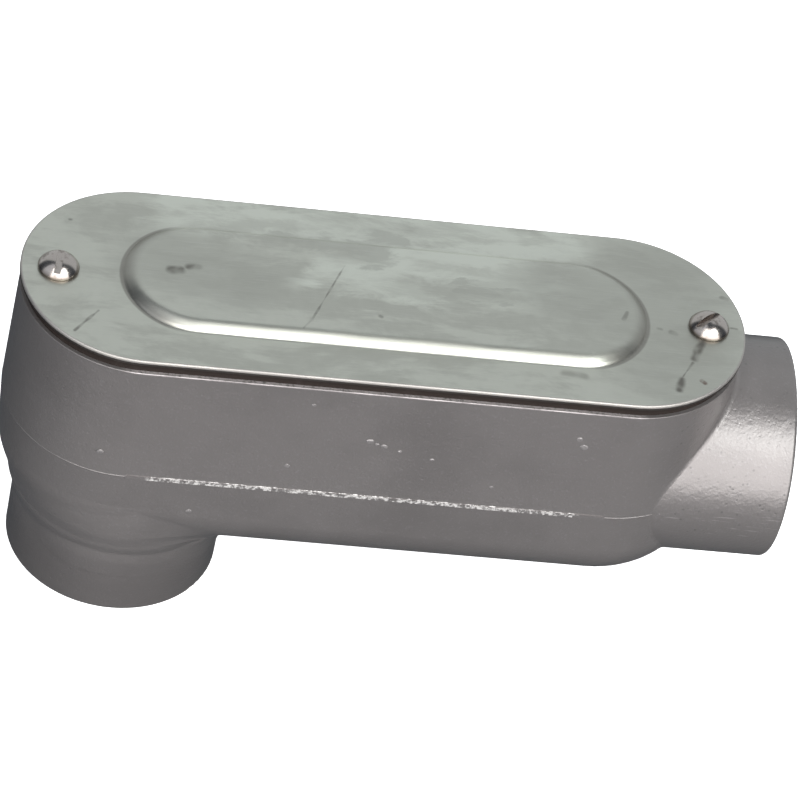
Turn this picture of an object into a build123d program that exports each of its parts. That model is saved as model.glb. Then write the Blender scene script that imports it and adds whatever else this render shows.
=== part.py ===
from build123d import *
import os

# Conduit body with its cover on top, one hub out of the back and one out of the end.
# Origin at the centre of the back hub's mouth. +Z points to the cover, +X out of the end hub.

# Conduit of trade size 1-1/4 and the hubs that take it
conduit_radius = 21.1
throat_radius = 17.5
thread_length = 18.0
stop_width = 3.0
hub_wall = 4.0
hub_radius = conduit_radius + hub_wall
back_hub_mouth_radius = hub_radius - 0.85
back_hub_neck_radius = hub_radius - 0.75
neck_drop = 5.2
mouth_rounding = 1.0
end_hub_blend = 1.5

# Outline from above: two half circles joined by straight sides
arc_spacing = 107.8
rim_over_hub = 2.05
upper_draft = 0.4
lower_draft = 0.65
cover_overhang = 0.35
rim_half_width = hub_radius + rim_over_hub
parting_half_width = rim_half_width + upper_draft
corner_half_width = parting_half_width - lower_draft
cover_half_width = rim_half_width + cover_overhang
corner_flat = 12.4
corner_radius = corner_half_width - corner_flat

# Heights above the back hub's mouth
body_bottom = thread_length + stop_width
end_hub_rise = 0.2
parting_drop = 0.4
end_hub_axis_height = body_bottom + hub_radius + end_hub_rise
parting_height = end_hub_axis_height - parting_drop
corner_height = body_bottom + corner_radius
cover_thickness = 1.3
gasket_thickness = 2.6
end_hub_depth = 34.75
cover_top = end_hub_axis_height + end_hub_depth
cover_bottom = cover_top - cover_thickness
rim_height = cover_bottom - gasket_thickness

# Lengths along X, measured from the back hub's axis
back_arc_offset = 3.0
end_hub_reach = 13.85
back_arc = -back_arc_offset
end_arc = back_arc + arc_spacing
middle = (back_arc + end_arc) / 2
end_hub_mouth = end_arc + parting_half_width + end_hub_reach
end_hub_thread_end = end_hub_mouth - thread_length
end_hub_stop = end_hub_thread_end - stop_width

# Walls and the wiring space inside
rim_wall = 2.8
floor_wall = 3.0
cavity_rim_half_width = rim_half_width - rim_wall
cavity_draft = 0.4
cavity_lower_draft = 0.2
cavity_parting_half_width = cavity_rim_half_width - cavity_draft
cavity_corner_half_width = cavity_parting_half_width - cavity_lower_draft
flash_stand = 0.2
flash_height = 0.9
cavity_floor = body_bottom + floor_wall

# Collar where the back hub grows out of the box
collar_radius = hub_radius + 1.05
collar_rise = 1.2
collar_bottom = body_bottom + collar_rise
back_hub_neck_height = body_bottom - neck_drop
collar_inset = 0.05
collar_top_radius = corner_half_width - collar_inset

# Screws, their bosses and their holes
screw_from_wall = 5.25
screw_from_arc = cavity_rim_half_width - screw_from_wall
back_screw = back_arc - screw_from_arc
end_screw = end_arc + screw_from_arc
shank_radius = 2.35
shank_length = 13.0
tip_chamfer = 0.6
boss_running_gap = 0.05
boss_hole_radius = shank_radius + boss_running_gap
boss_radius = 5.2
boss_height = 11.5
boss_hole_depth = 10.8
boss_cone_height = 4.5
boss_cone_tip = 0.8
boss_reach = 7.0
cover_hole_radius = 2.8
gasket_hole_radius = 2.9
head_radius = 4.6
head_height = 3.4
head_rim = 0.6
slot_width = 1.5
slot_depth = 1.8
back_slot_angle = 82.0
end_slot_angle = 38.0

# Raised middle of the cover
panel_side_margin = 10.2
panel_end_margin = 22.1
panel_half_length = arc_spacing / 2 + cover_half_width - panel_end_margin
panel_half_width = cover_half_width - panel_side_margin
panel_slope = 3.4
panel_height = 2.0
panel_shoulder = 4.5
cover_edge_rounding = 0.35

# Gasket frame
gasket_inset = 0.85
gasket_inner_overhang = 2.95
gasket_half_width = rim_half_width - gasket_inset
gasket_inner_half_width = cavity_rim_half_width - gasket_inner_overhang
gasket_ear_wall = 4.1
gasket_ear_radius = gasket_hole_radius + gasket_ear_wall


def obround(half_width, half_length):
    """Outline with round ends, flat, centred on the cover."""
    return Pos(middle, 0) * SlotOverall(2 * half_length, 2 * half_width)


def plate(half_width, half_length, bottom, top):
    """Flat sheet of that outline between two heights."""
    return Pos(0, 0, bottom) * extrude(obround(half_width, half_length), top - bottom)


def half_section(half_widths, floor):
    """Right half of the section across the body, from its middle line out to the wall."""
    top_half, parting_half, corner_half = half_widths
    radius = corner_height - floor
    corner = (corner_half - radius, corner_height)
    lines = [Line((0, floor), (0, rim_height)), Line((0, rim_height), (top_half, rim_height))]
    lines += [Line((top_half, rim_height), (parting_half, parting_height))]
    lines += [Line((parting_half, parting_height), (corner_half, corner_height))]
    lines += [CenterArc(corner, radius, start_angle=270, arc_size=90)]
    lines += [Line((corner_half - radius, floor), (0, floor))]
    return make_face(Curve() + lines)


def tub(half):
    """Solid with round ends that has this half section all the way round."""
    standing = Plane.XZ * half
    back_end = Pos(back_arc, 0) * revolve(Rot(0, 0, 90) * standing, Axis.Z, 180)
    front_end = Pos(end_arc, 0) * revolve(Rot(0, 0, -90) * standing, Axis.Z, 180)
    whole = Plane.YZ * (half + mirror(half, Plane.YZ))
    bar = Pos(back_arc, 0) * extrude(whole, arc_spacing)
    return back_end + bar + front_end


def outside():
    """The box without its hubs."""
    widths = (rim_half_width, parting_half_width, corner_half_width)
    return tub(half_section(widths, body_bottom))


def cavity():
    """The wiring space, open at the rim."""
    widths = (cavity_rim_half_width, cavity_parting_half_width, cavity_corner_half_width)
    return tub(half_section(widths, cavity_floor))


def along_x(radius, start, end):
    """Round bar on the end hub's axis."""
    bar = Cylinder(radius, end - start, rotation=(0, 90, 0))
    return Pos((start + end) / 2, 0, end_hub_axis_height) * bar


def upright(radius, bottom, top):
    """Round bar on the back hub's axis."""
    return Pos(0, 0, (bottom + top) / 2) * Cylinder(radius, top - bottom)


def back_hub():
    """Stub out of the back, with a soft neck under its collar."""
    mouth = (back_hub_mouth_radius, mouth_rounding)
    neck = (back_hub_neck_radius, back_hub_neck_height)
    top = (collar_radius, collar_bottom)
    lines = [Line((0, 0), (back_hub_mouth_radius - mouth_rounding, 0))]
    lines += [RadiusArc(lines[-1] @ 1, mouth, -mouth_rounding), Line(mouth, neck)]
    lines += [Spline([neck, top], tangents=[(0.02, 1), (0.12, 1)])]
    lines += [Line(top, (0, collar_bottom)), Line((0, collar_bottom), (0, 0))]
    return revolve(Plane.XZ * make_face(Curve() + lines), Axis.Z)


def collar():
    """Skewed cone that carries the back hub into the round end of the box."""
    low = Pos(0, 0, collar_bottom) * Circle(collar_radius)
    high = Pos(back_arc, 0, corner_height) * Circle(collar_top_radius)
    return loft([low, high], ruled=True)


def end_hub():
    """Stub out of the end, with its mouth's edge rounded."""
    stub = along_x(hub_radius, end_arc, end_hub_mouth)
    return fillet(stub.edges().group_by(Axis.X)[-1], mouth_rounding)


def boss(x, outward):
    """Screw boss under the rim, joined to the end wall, with a tapered foot."""
    post = Pos(x, 0, rim_height - boss_height / 2) * Cylinder(boss_radius, boss_height)
    foot_height = rim_height - boss_height - boss_cone_height / 2
    foot = Pos(x, 0, foot_height) * Cone(boss_cone_tip, boss_radius, boss_cone_height)
    web_place = Pos(x + outward * boss_reach / 2, 0, rim_height - boss_height / 2)
    web = web_place * Box(boss_reach, 2 * boss_radius, boss_height)
    return post + foot + web


def boss_hole(x):
    """Blind hole for a screw."""
    return Pos(x, 0, rim_height - boss_hole_depth / 2) * Cylinder(boss_hole_radius, boss_hole_depth)


def is_end_hub_joint(edge):
    """True for the curves where the end hub leaves the box."""
    for share in (0, 0.5, 1):
        place = edge @ share
        from_axis = (place.Y**2 + (place.Z - end_hub_axis_height) ** 2) ** 0.5
        if abs(from_axis - hub_radius) > 0.02 or place.X > end_hub_mouth - 2 * mouth_rounding:
            return False
    return edge.geom_type != GeomType.LINE


def filed_flash():
    """Low band left on both straight sides where the mould parted."""
    width = 2 * (parting_half_width + flash_stand)
    return Pos(middle, 0, parting_height) * Box(arc_spacing, width, flash_height)


def body_casting():
    """Box, both hubs, conduit stops and screw bosses in one casting."""
    box = outside()
    casting = box + end_hub()
    casting = fillet([e for e in casting.edges() if is_end_hub_joint(e)], end_hub_blend)
    casting += back_hub() + collar()
    casting += filed_flash()
    casting -= cavity()
    casting += box & along_x(hub_radius, end_hub_stop, end_hub_mouth)
    casting += box & boss(back_screw, -1)
    casting += box & boss(end_screw, 1)
    casting -= along_x(throat_radius, end_arc, end_hub_mouth)
    casting -= along_x(conduit_radius, end_hub_thread_end, end_hub_mouth)
    casting -= upright(throat_radius, 0, corner_height)
    casting -= upright(conduit_radius, 0, thread_length)
    casting -= boss_hole(back_screw) + boss_hole(end_screw)
    return casting


def cover_gasket():
    """Flat frame on the rim, with an ear round each screw."""
    frame = plate(gasket_half_width, arc_spacing / 2 + gasket_half_width, rim_height, cover_bottom)
    inner = plate(gasket_inner_half_width, arc_spacing / 2 + gasket_inner_half_width, rim_height, cover_bottom)
    ears = None
    holes = None
    for x in (back_screw, end_screw):
        centre = Pos(x, 0, (rim_height + cover_bottom) / 2)
        ear = centre * Cylinder(gasket_ear_radius, gasket_thickness)
        hole = centre * Cylinder(gasket_hole_radius, gasket_thickness)
        ears = ear if ears is None else ears + ear
        holes = hole if holes is None else holes + hole
    return (frame - inner) + (frame & ears) - holes


def raised_panel(half_width, half_length, bottom, slope, height):
    """Low mound with a sloped edge, as the press leaves it."""
    low = Pos(0, 0, bottom) * obround(half_width, half_length)
    high = Pos(0, 0, bottom + height) * obround(half_width - slope, half_length - slope)
    return loft([low, high], ruled=True)


def cover_plate():
    """Stamped sheet with its middle pressed up and one hole at each end."""
    sheet = plate(cover_half_width, arc_spacing / 2 + cover_half_width, cover_bottom, cover_top)
    sheet = fillet(sheet.faces().sort_by(Axis.Z)[-1].edges(), cover_edge_rounding)
    mound = raised_panel(panel_half_width, panel_half_length, cover_top, panel_slope, panel_height)
    mound = fillet(mound.faces().sort_by(Axis.Z)[-1].edges(), panel_shoulder)
    edge = cover_thickness / 2
    low_width = panel_half_width - edge
    low_length = panel_half_length - edge
    hollow = raised_panel(low_width, low_length, cover_bottom, panel_slope, panel_height)
    hollow = fillet(hollow.faces().sort_by(Axis.Z)[-1].edges(), panel_shoulder)
    sheet = sheet + mound - hollow
    for x in (back_screw, end_screw):
        sheet -= Pos(x, 0, (cover_bottom + cover_top) / 2) * Cylinder(cover_hole_radius, 3 * cover_thickness)
    return sheet


def cover_screw(x, slot_angle):
    """Round-headed screw with a straight slot."""
    dome_radius = (head_radius**2 + (head_height - head_rim) ** 2) / (2 * (head_height - head_rim))
    dome = Pos(x, 0, cover_top + head_height - dome_radius) * Sphere(dome_radius)
    head = Pos(x, 0, cover_top + head_height / 2) * Cylinder(head_radius, head_height)
    head = head & dome
    shank = Pos(x, 0, cover_top - shank_length / 2) * Cylinder(shank_radius, shank_length)
    shank = chamfer(shank.edges().group_by(Axis.Z)[0], tip_chamfer)
    slot = Pos(x, 0, cover_top + head_height) * Rot(0, 0, slot_angle) * Box(3 * head_radius, slot_width, 2 * slot_depth)
    return head + shank - slot


os.makedirs("parts", exist_ok=True)
export_step(body_casting(), "parts/body_casting.step")
export_step(cover_gasket(), "parts/cover_gasket.step")
export_step(cover_plate(), "parts/cover_plate.step")
export_step(cover_screw(back_screw, back_slot_angle), "parts/cover_screw_back_hub_end.step")
export_step(cover_screw(end_screw, end_slot_angle), "parts/cover_screw_end_hub_end.step")
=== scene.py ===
"""Looks of an angled conduit body: cast box, two threaded hubs, gasketed cover, slotted screws.

The fixed frame gives every part its size and place. Lengths are in metres, +Z points to the
cover and +X out of the end hub.
"""

import logging
import math
from dataclasses import dataclass, field
from enum import Enum

import bmesh
import bpy
import numpy as np
from mathutils import Matrix, Vector

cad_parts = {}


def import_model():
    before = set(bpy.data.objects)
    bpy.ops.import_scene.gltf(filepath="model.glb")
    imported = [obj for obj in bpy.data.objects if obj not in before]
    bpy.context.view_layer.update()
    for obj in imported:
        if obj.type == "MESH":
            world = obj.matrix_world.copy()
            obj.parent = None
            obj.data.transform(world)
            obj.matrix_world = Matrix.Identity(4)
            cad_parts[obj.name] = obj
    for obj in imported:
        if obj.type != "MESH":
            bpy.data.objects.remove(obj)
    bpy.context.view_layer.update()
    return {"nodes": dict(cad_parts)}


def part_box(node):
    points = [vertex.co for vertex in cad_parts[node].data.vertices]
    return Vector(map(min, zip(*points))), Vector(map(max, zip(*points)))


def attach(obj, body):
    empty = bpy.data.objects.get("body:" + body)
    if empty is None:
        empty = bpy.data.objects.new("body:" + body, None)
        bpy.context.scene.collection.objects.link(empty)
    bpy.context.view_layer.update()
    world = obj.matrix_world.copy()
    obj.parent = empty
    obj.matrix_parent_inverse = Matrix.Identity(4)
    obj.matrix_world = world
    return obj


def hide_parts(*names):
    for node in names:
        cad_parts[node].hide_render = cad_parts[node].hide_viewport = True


log = logging.getLogger("conduit_body")

MM = 0.001

Colour = tuple[float, float, float]
Point = tuple[float, float, float]


# Shader writing


class Term:
    """A number that a material works out, with the arithmetic to combine it.

    Each operator adds one maths node and gives back its result as a new term.
    """

    def __init__(self, shader: "Shader", socket: bpy.types.NodeSocket) -> None:
        """Wraps an output socket.

        Args:
            shader: The material that the socket belongs to.
            socket: The output that carries the number.
        """
        self.shader = shader
        self.socket = socket

    def _maths(self, kind: str, *others: "Term | float") -> "Term":
        """Feeds this term and others to one maths node."""
        return self.shader.maths(kind, self, *others)

    def __add__(self, other: "Term | float") -> "Term":
        """Sum."""
        return self._maths("ADD", other)

    __radd__ = __add__

    def __sub__(self, other: "Term | float") -> "Term":
        """Difference."""
        return self._maths("SUBTRACT", other)

    def __rsub__(self, other: float) -> "Term":
        """Difference from a plain number."""
        return self.shader.maths("SUBTRACT", other, self)

    def __mul__(self, other: "Term | float") -> "Term":
        """Product."""
        return self._maths("MULTIPLY", other)

    __rmul__ = __mul__

    def __truediv__(self, other: "Term | float") -> "Term":
        """Quotient."""
        return self._maths("DIVIDE", other)

    def __abs__(self) -> "Term":
        """Size without sign."""
        return self._maths("ABSOLUTE")

    def least(self, other: "Term | float") -> "Term":
        """The lower of two."""
        return self._maths("MINIMUM", other)

    def most(self, other: "Term | float") -> "Term":
        """The higher of two."""
        return self._maths("MAXIMUM", other)

    def root(self) -> "Term":
        """Square root."""
        return self._maths("SQRT")

    def rise(self, low: float, high: float) -> "Term":
        """Smooth step from 0 at low to 1 at high.

        Args:
            low: Value where the step starts.
            high: Value where the step ends. It may be the lower of the two.

        Returns:
            The step, between 0 and 1.
        """
        node = self.shader.node("ShaderNodeMapRange", interpolation_type="SMOOTHSTEP")
        flip = low > high
        self.shader.feed(node.inputs["Value"], self)
        node.inputs["From Min"].default_value = high if flip else low
        node.inputs["From Max"].default_value = low if flip else high
        node.inputs["To Min"].default_value = 1.0 if flip else 0.0
        node.inputs["To Max"].default_value = 0.0 if flip else 1.0
        return Term(self.shader, node.outputs["Result"])

    def within(self, low: float, high: float, soft: float) -> "Term":
        """One between two values, falling to nothing over a soft edge outside them."""
        return self.rise(low - soft, low) * self.rise(high + soft, high)


class Shader:
    """A node material built in code round one Principled surface."""

    def __init__(self, name: str) -> None:
        """Starts the material.

        Args:
            name: Name of the material.
        """
        self.material = bpy.data.materials.new(name)
        self.material.use_nodes = True
        self.tree = self.material.node_tree
        self.surface = self.tree.nodes["Principled BSDF"]
        self._place: bpy.types.NodeSocket | None = None
        self._axes: tuple[Term, Term, Term] | None = None

    def node(self, kind: str, **settings: object) -> bpy.types.Node:
        """Adds a node and sets its own properties."""
        made = self.tree.nodes.new(kind)
        for name, value in settings.items():
            setattr(made, name, value)
        return made

    def feed(self, socket: bpy.types.NodeSocket, value: "Term | bpy.types.NodeSocket | float") -> None:
        """Links a term or output to an input, or sets a plain value on it."""
        if isinstance(value, Term):
            self.tree.links.new(value.socket, socket)
        elif isinstance(value, bpy.types.NodeSocket):
            self.tree.links.new(value, socket)
        else:
            socket.default_value = value

    def maths(self, kind: str, *values: "Term | float") -> Term:
        """One maths node.

        Args:
            kind: The operation's name in the node.
            *values: What goes in, in order.

        Returns:
            The result.
        """
        made = self.node("ShaderNodeMath", operation=kind)
        for socket, value in zip(made.inputs, values):
            self.feed(socket, value)
        return Term(self, made.outputs[0])

    @property
    def place(self) -> bpy.types.NodeSocket:
        """The surface point in the object's own metres."""
        if self._place is None:
            self._place = self.node("ShaderNodeTexCoord").outputs["Object"]
        return self._place

    @property
    def axes(self) -> tuple[Term, Term, Term]:
        """The surface point's X, Y and Z."""
        if self._axes is None:
            parts = self.node("ShaderNodeSeparateXYZ")
            self.feed(parts.inputs[0], self.place)
            self._axes = tuple(Term(self, out) for out in parts.outputs)
        return self._axes

    def stretched(self, x: float, y: float, z: float, shift: Point = (0.0, 0.0, 0.0)) -> bpy.types.NodeSocket:
        """The surface point scaled along each axis, then shifted."""
        made = self.node("ShaderNodeVectorMath", operation="MULTIPLY_ADD")
        self.feed(made.inputs[0], self.place)
        made.inputs[1].default_value = (x, y, z)
        made.inputs[2].default_value = shift
        return made.outputs[0]

    def noise(
        self,
        scale: float,
        detail: float = 3.0,
        roughness: float = 0.5,
        distortion: float = 0.0,
        place: bpy.types.NodeSocket | None = None,
    ) -> Term:
        """Soft random pattern, about 0 to 1 and mostly near a half.

        Args:
            scale: Bumps per metre, or per unit of a stretched place.
            detail: Number of finer layers.
            roughness: Weight of the finer layers.
            distortion: How far the pattern is swirled.
            place: Where it is read, the surface point unless given.

        Returns:
            The pattern.
        """
        made = self.node("ShaderNodeTexNoise")
        self.feed(made.inputs["Vector"], place or self.place)
        made.inputs["Scale"].default_value = scale
        made.inputs["Detail"].default_value = detail
        made.inputs["Roughness"].default_value = roughness
        made.inputs["Distortion"].default_value = distortion
        return Term(self, made.outputs["Fac"])

    def cells(self, scale: float, place: bpy.types.NodeSocket | None = None) -> Term:
        """Distance to the nearest of many scattered points, in cell widths."""
        made = self.node("ShaderNodeTexVoronoi")
        self.feed(made.inputs["Vector"], place or self.place)
        made.inputs["Scale"].default_value = scale
        return Term(self, made.outputs["Distance"])

    def tint(self, base: "Colour | bpy.types.NodeSocket", other: Colour, share: Term) -> bpy.types.NodeSocket:
        """Mixes two colours.

        Args:
            base: Colour where the share is 0.
            other: Colour where the share is 1.
            share: How much of the other colour shows.

        Returns:
            The mixed colour.
        """
        made = self.node("ShaderNodeMix", data_type="RGBA")
        self.feed(made.inputs["Factor"], share)
        if isinstance(base, tuple):
            made.inputs["A"].default_value = (*base, 1.0)
            self.feed_colour(made, "A", base)
        else:
            self.feed_colour(made, "A", base)
        self.feed_colour(made, "B", other)
        return next(out for out in made.outputs if out.type == "RGBA")

    def feed_colour(self, mix: bpy.types.Node, side: str, value: "Colour | bpy.types.NodeSocket") -> None:
        """Sets or links one colour input of a mix node."""
        socket = next(s for s in mix.inputs if s.name == side and s.type == "RGBA")
        if isinstance(value, bpy.types.NodeSocket):
            self.tree.links.new(value, socket)
        else:
            socket.default_value = (*value, 1.0)

    def segment(self, start: tuple[float, float], end: tuple[float, float]) -> Term:
        """Distance in plan from a straight line between two points, in metres."""
        x, y, _ = self.axes
        run = (end[0] - start[0], end[1] - start[1])
        length = run[0] ** 2 + run[1] ** 2
        along = ((x - start[0]) * run[0] + (y - start[1]) * run[1]) / length
        along = along.most(0.0).least(1.0)
        off_x = x - start[0] - along * run[0]
        off_y = y - start[1] - along * run[1]
        return (off_x * off_x + off_y * off_y).root()

    def relief(self, height: Term, distance: float, strength: float = 1.0) -> None:
        """Shades the surface as if it had that fine height, in metres."""
        bump = self.node("ShaderNodeBump")
        bump.inputs["Strength"].default_value = strength
        bump.inputs["Distance"].default_value = distance
        self.feed(bump.inputs["Height"], height)
        self.feed(self.surface.inputs["Normal"], bump.outputs["Normal"])

    def finish_with(
        self,
        colour: "Colour | bpy.types.NodeSocket",
        metallic: "Term | float",
        roughness: "Term | float",
        coat: float = 0.0,
        coat_roughness: float = 0.2,
    ) -> bpy.types.Material:
        """Sets the surface's main values.

        Args:
            colour: Base colour, plain or worked out.
            metallic: Share of bare metal.
            roughness: How far a reflection spreads.
            coat: Weight of a clear coat.
            coat_roughness: How far the coat's reflection spreads.

        Returns:
            The finished material.
        """
        inputs = self.surface.inputs
        if isinstance(colour, bpy.types.NodeSocket):
            self.tree.links.new(colour, inputs["Base Color"])
        else:
            inputs["Base Color"].default_value = (*colour, 1.0)
        self.feed(inputs["Metallic"], metallic)
        self.feed(inputs["Roughness"], roughness)
        inputs["Coat Weight"].default_value = coat
        inputs["Coat Roughness"].default_value = coat_roughness
        return self.material


class SkyShader(Shader):
    """The light from all round, worked out from its direction."""

    def __init__(self, name: str) -> None:
        """Starts the world.

        Args:
            name: Name of the world.
        """
        self.world = bpy.data.worlds.new(name)
        self.world.use_nodes = True
        self.tree = self.world.node_tree
        self.surface = self.tree.nodes["Background"]
        self._place = self.node("ShaderNodeTexCoord").outputs["Generated"]
        self._axes = None

    def bearing(self, azimuth: float) -> Term:
        """Angle round Z from a given azimuth, in degrees, positive to its right."""
        turn = math.radians(azimuth)
        x, y, _ = self.axes
        ahead = x * math.sin(turn) + y * -math.cos(turn)
        aside = x * math.cos(turn) + y * math.sin(turn)
        return self.maths("ARCTAN2", aside, ahead) * (180 / math.pi)

    def climb(self) -> Term:
        """Angle above the horizon, in degrees."""
        return self.maths("ARCSINE", self.axes[2]) * (180 / math.pi)


# Finishes


@dataclass(frozen=True)
class CastPaint:
    """Grey metallic paint over a die casting, with orange peel and fine pits, painted shade towards the bottom and a
    painted highlight along the rim.
    """

    colour: Colour = (0.240, 0.223, 0.221)
    fleck: Colour = (0.42, 0.42, 0.43)
    # Paint worn thin; along the rim it also serves as a painted highlight.
    thin: Colour = (0.66, 0.61, 0.61)
    bare: Colour = (0.58, 0.56, 0.55)
    metallic: float = 0.57
    roughness: float = 0.29
    rim_height: float = 77.15 * MM
    flash_side: float = 27.6 * MM
    flash_near: tuple[float, float] = (2.5 * MM, 98.0 * MM)
    worn_rim: tuple[float, float] = (-4.0 * MM, 105.0 * MM)
    hub_start: float = 118.0 * MM

    def material(self) -> bpy.types.Material:
        """Builds the paint."""
        s = Shader("cast_paint")
        clouds = s.noise(28.0, 4.0, 0.55)
        grain = s.noise(1500.0, 2.0, 0.6)
        peel = s.noise(520.0, 2.0, 0.45)
        pits = s.cells(620.0).rise(0.10, 0.26)
        fleck = grain.rise(0.56, 0.72)
        x, y, z = s.axes
        tone = s.tint(self.colour, tuple(0.86 * c for c in self.colour), clouds.rise(0.38, 0.66))
        tone = s.tint(tone, self.fleck, fleck * 0.12)
        # Painted shade: darker towards the bottom, in place of the floor in the object's own shadow that the lower
        # walls and hubs reflect.
        tone = s.tint(tone, tuple(0.62 * c for c in self.colour), z.rise(22.0 * MM, 5.0 * MM) * 0.62)
        on_hub = x.rise(self.hub_start - 2 * MM, self.hub_start + 1 * MM) * s.noise(90.0, 2.0, 0.5).rise(0.42, 0.60)
        tone = s.tint(tone, (0.08, 0.08, 0.08), (1.0 - pits) * on_hub * 0.45)
        streaks = s.noise(1.0, 3.0, 0.6, 0.0, s.stretched(150.0, 1400.0, 1400.0)).rise(0.56, 0.70)
        filed = z.within(41.5 * MM, 48.5 * MM, 1.5 * MM) * x.rise(self.hub_start, self.hub_start + 3 * MM)
        tone = s.tint(tone, self.thin, streaks * filed * 0.30)
        ragged = s.noise(1100.0, 3.0, 0.65)
        # Along the rim's top edge the paint is worn thin and painted brighter, a painted highlight that widens the
        # glint.
        rim = z.rise(self.rim_height - 0.55 * MM, self.rim_height - 0.2 * MM) * ragged.rise(0.30, 0.54)
        rim = rim * x.within(*self.worn_rim, 5.0 * MM)
        tone = s.tint(tone, self.thin, rim * 0.9)
        flash = abs(y).rise(self.flash_side, self.flash_side + 0.05 * MM) * x.within(*self.flash_near, 1.5 * MM)
        flash = flash * ragged.rise(0.43, 0.60)
        tone = s.tint(tone, self.bare, flash)
        s.relief(peel * 0.7 + grain * 0.62 + pits * 0.22, 0.12 * MM, 0.85)
        rough = self.roughness + grain * 0.1 + flash * 0.12
        return s.finish_with(tone, self.metallic - flash * 0.35, rough, coat=0.08, coat_roughness=0.35)


@dataclass(frozen=True)
class EdgePaint:
    """The same paint on an edge, worn thin and painted bright as a highlight."""

    # Worn paint, painted bright as a highlight.
    colour: Colour = (0.66, 0.61, 0.61)
    worn: Colour = (0.36, 0.33, 0.33)
    whole: Colour = (0.240, 0.223, 0.221)
    ends: tuple[float, float] = (-4.0 * MM, 105.0 * MM)

    def material(self) -> bpy.types.Material:
        """Builds the paint, worn and painted bright as a highlight between the two ends, and whole round the rest of
        the rim.
        """
        s = Shader("edge_wear_and_highlight")
        patch = s.noise(120.0, 4.0, 0.6)
        tone = s.tint(self.colour, self.worn, patch.rise(0.45, 0.62))
        tone = s.tint(self.whole, tone, s.axes[0].within(*self.ends, 5.0 * MM))
        s.relief(s.noise(1500.0, 2.0, 0.6), 0.05 * MM, 0.6)
        return s.finish_with(tone, 0.6, 0.36)


@dataclass(frozen=True)
class NibPaint:
    """Paint on a small blob, a little paler than the wall."""

    colour: Colour = (0.285, 0.268, 0.268)

    def material(self) -> bpy.types.Material:
        """Builds the paint."""
        s = Shader("nib_paint")
        grain = s.noise(1500.0, 2.0, 0.6)
        tone = s.tint(self.colour, (0.25, 0.235, 0.235), grain.rise(0.4, 0.6))
        s.relief(grain, 0.05 * MM, 0.6)
        return s.finish_with(tone, 0.5, 0.38)


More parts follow.
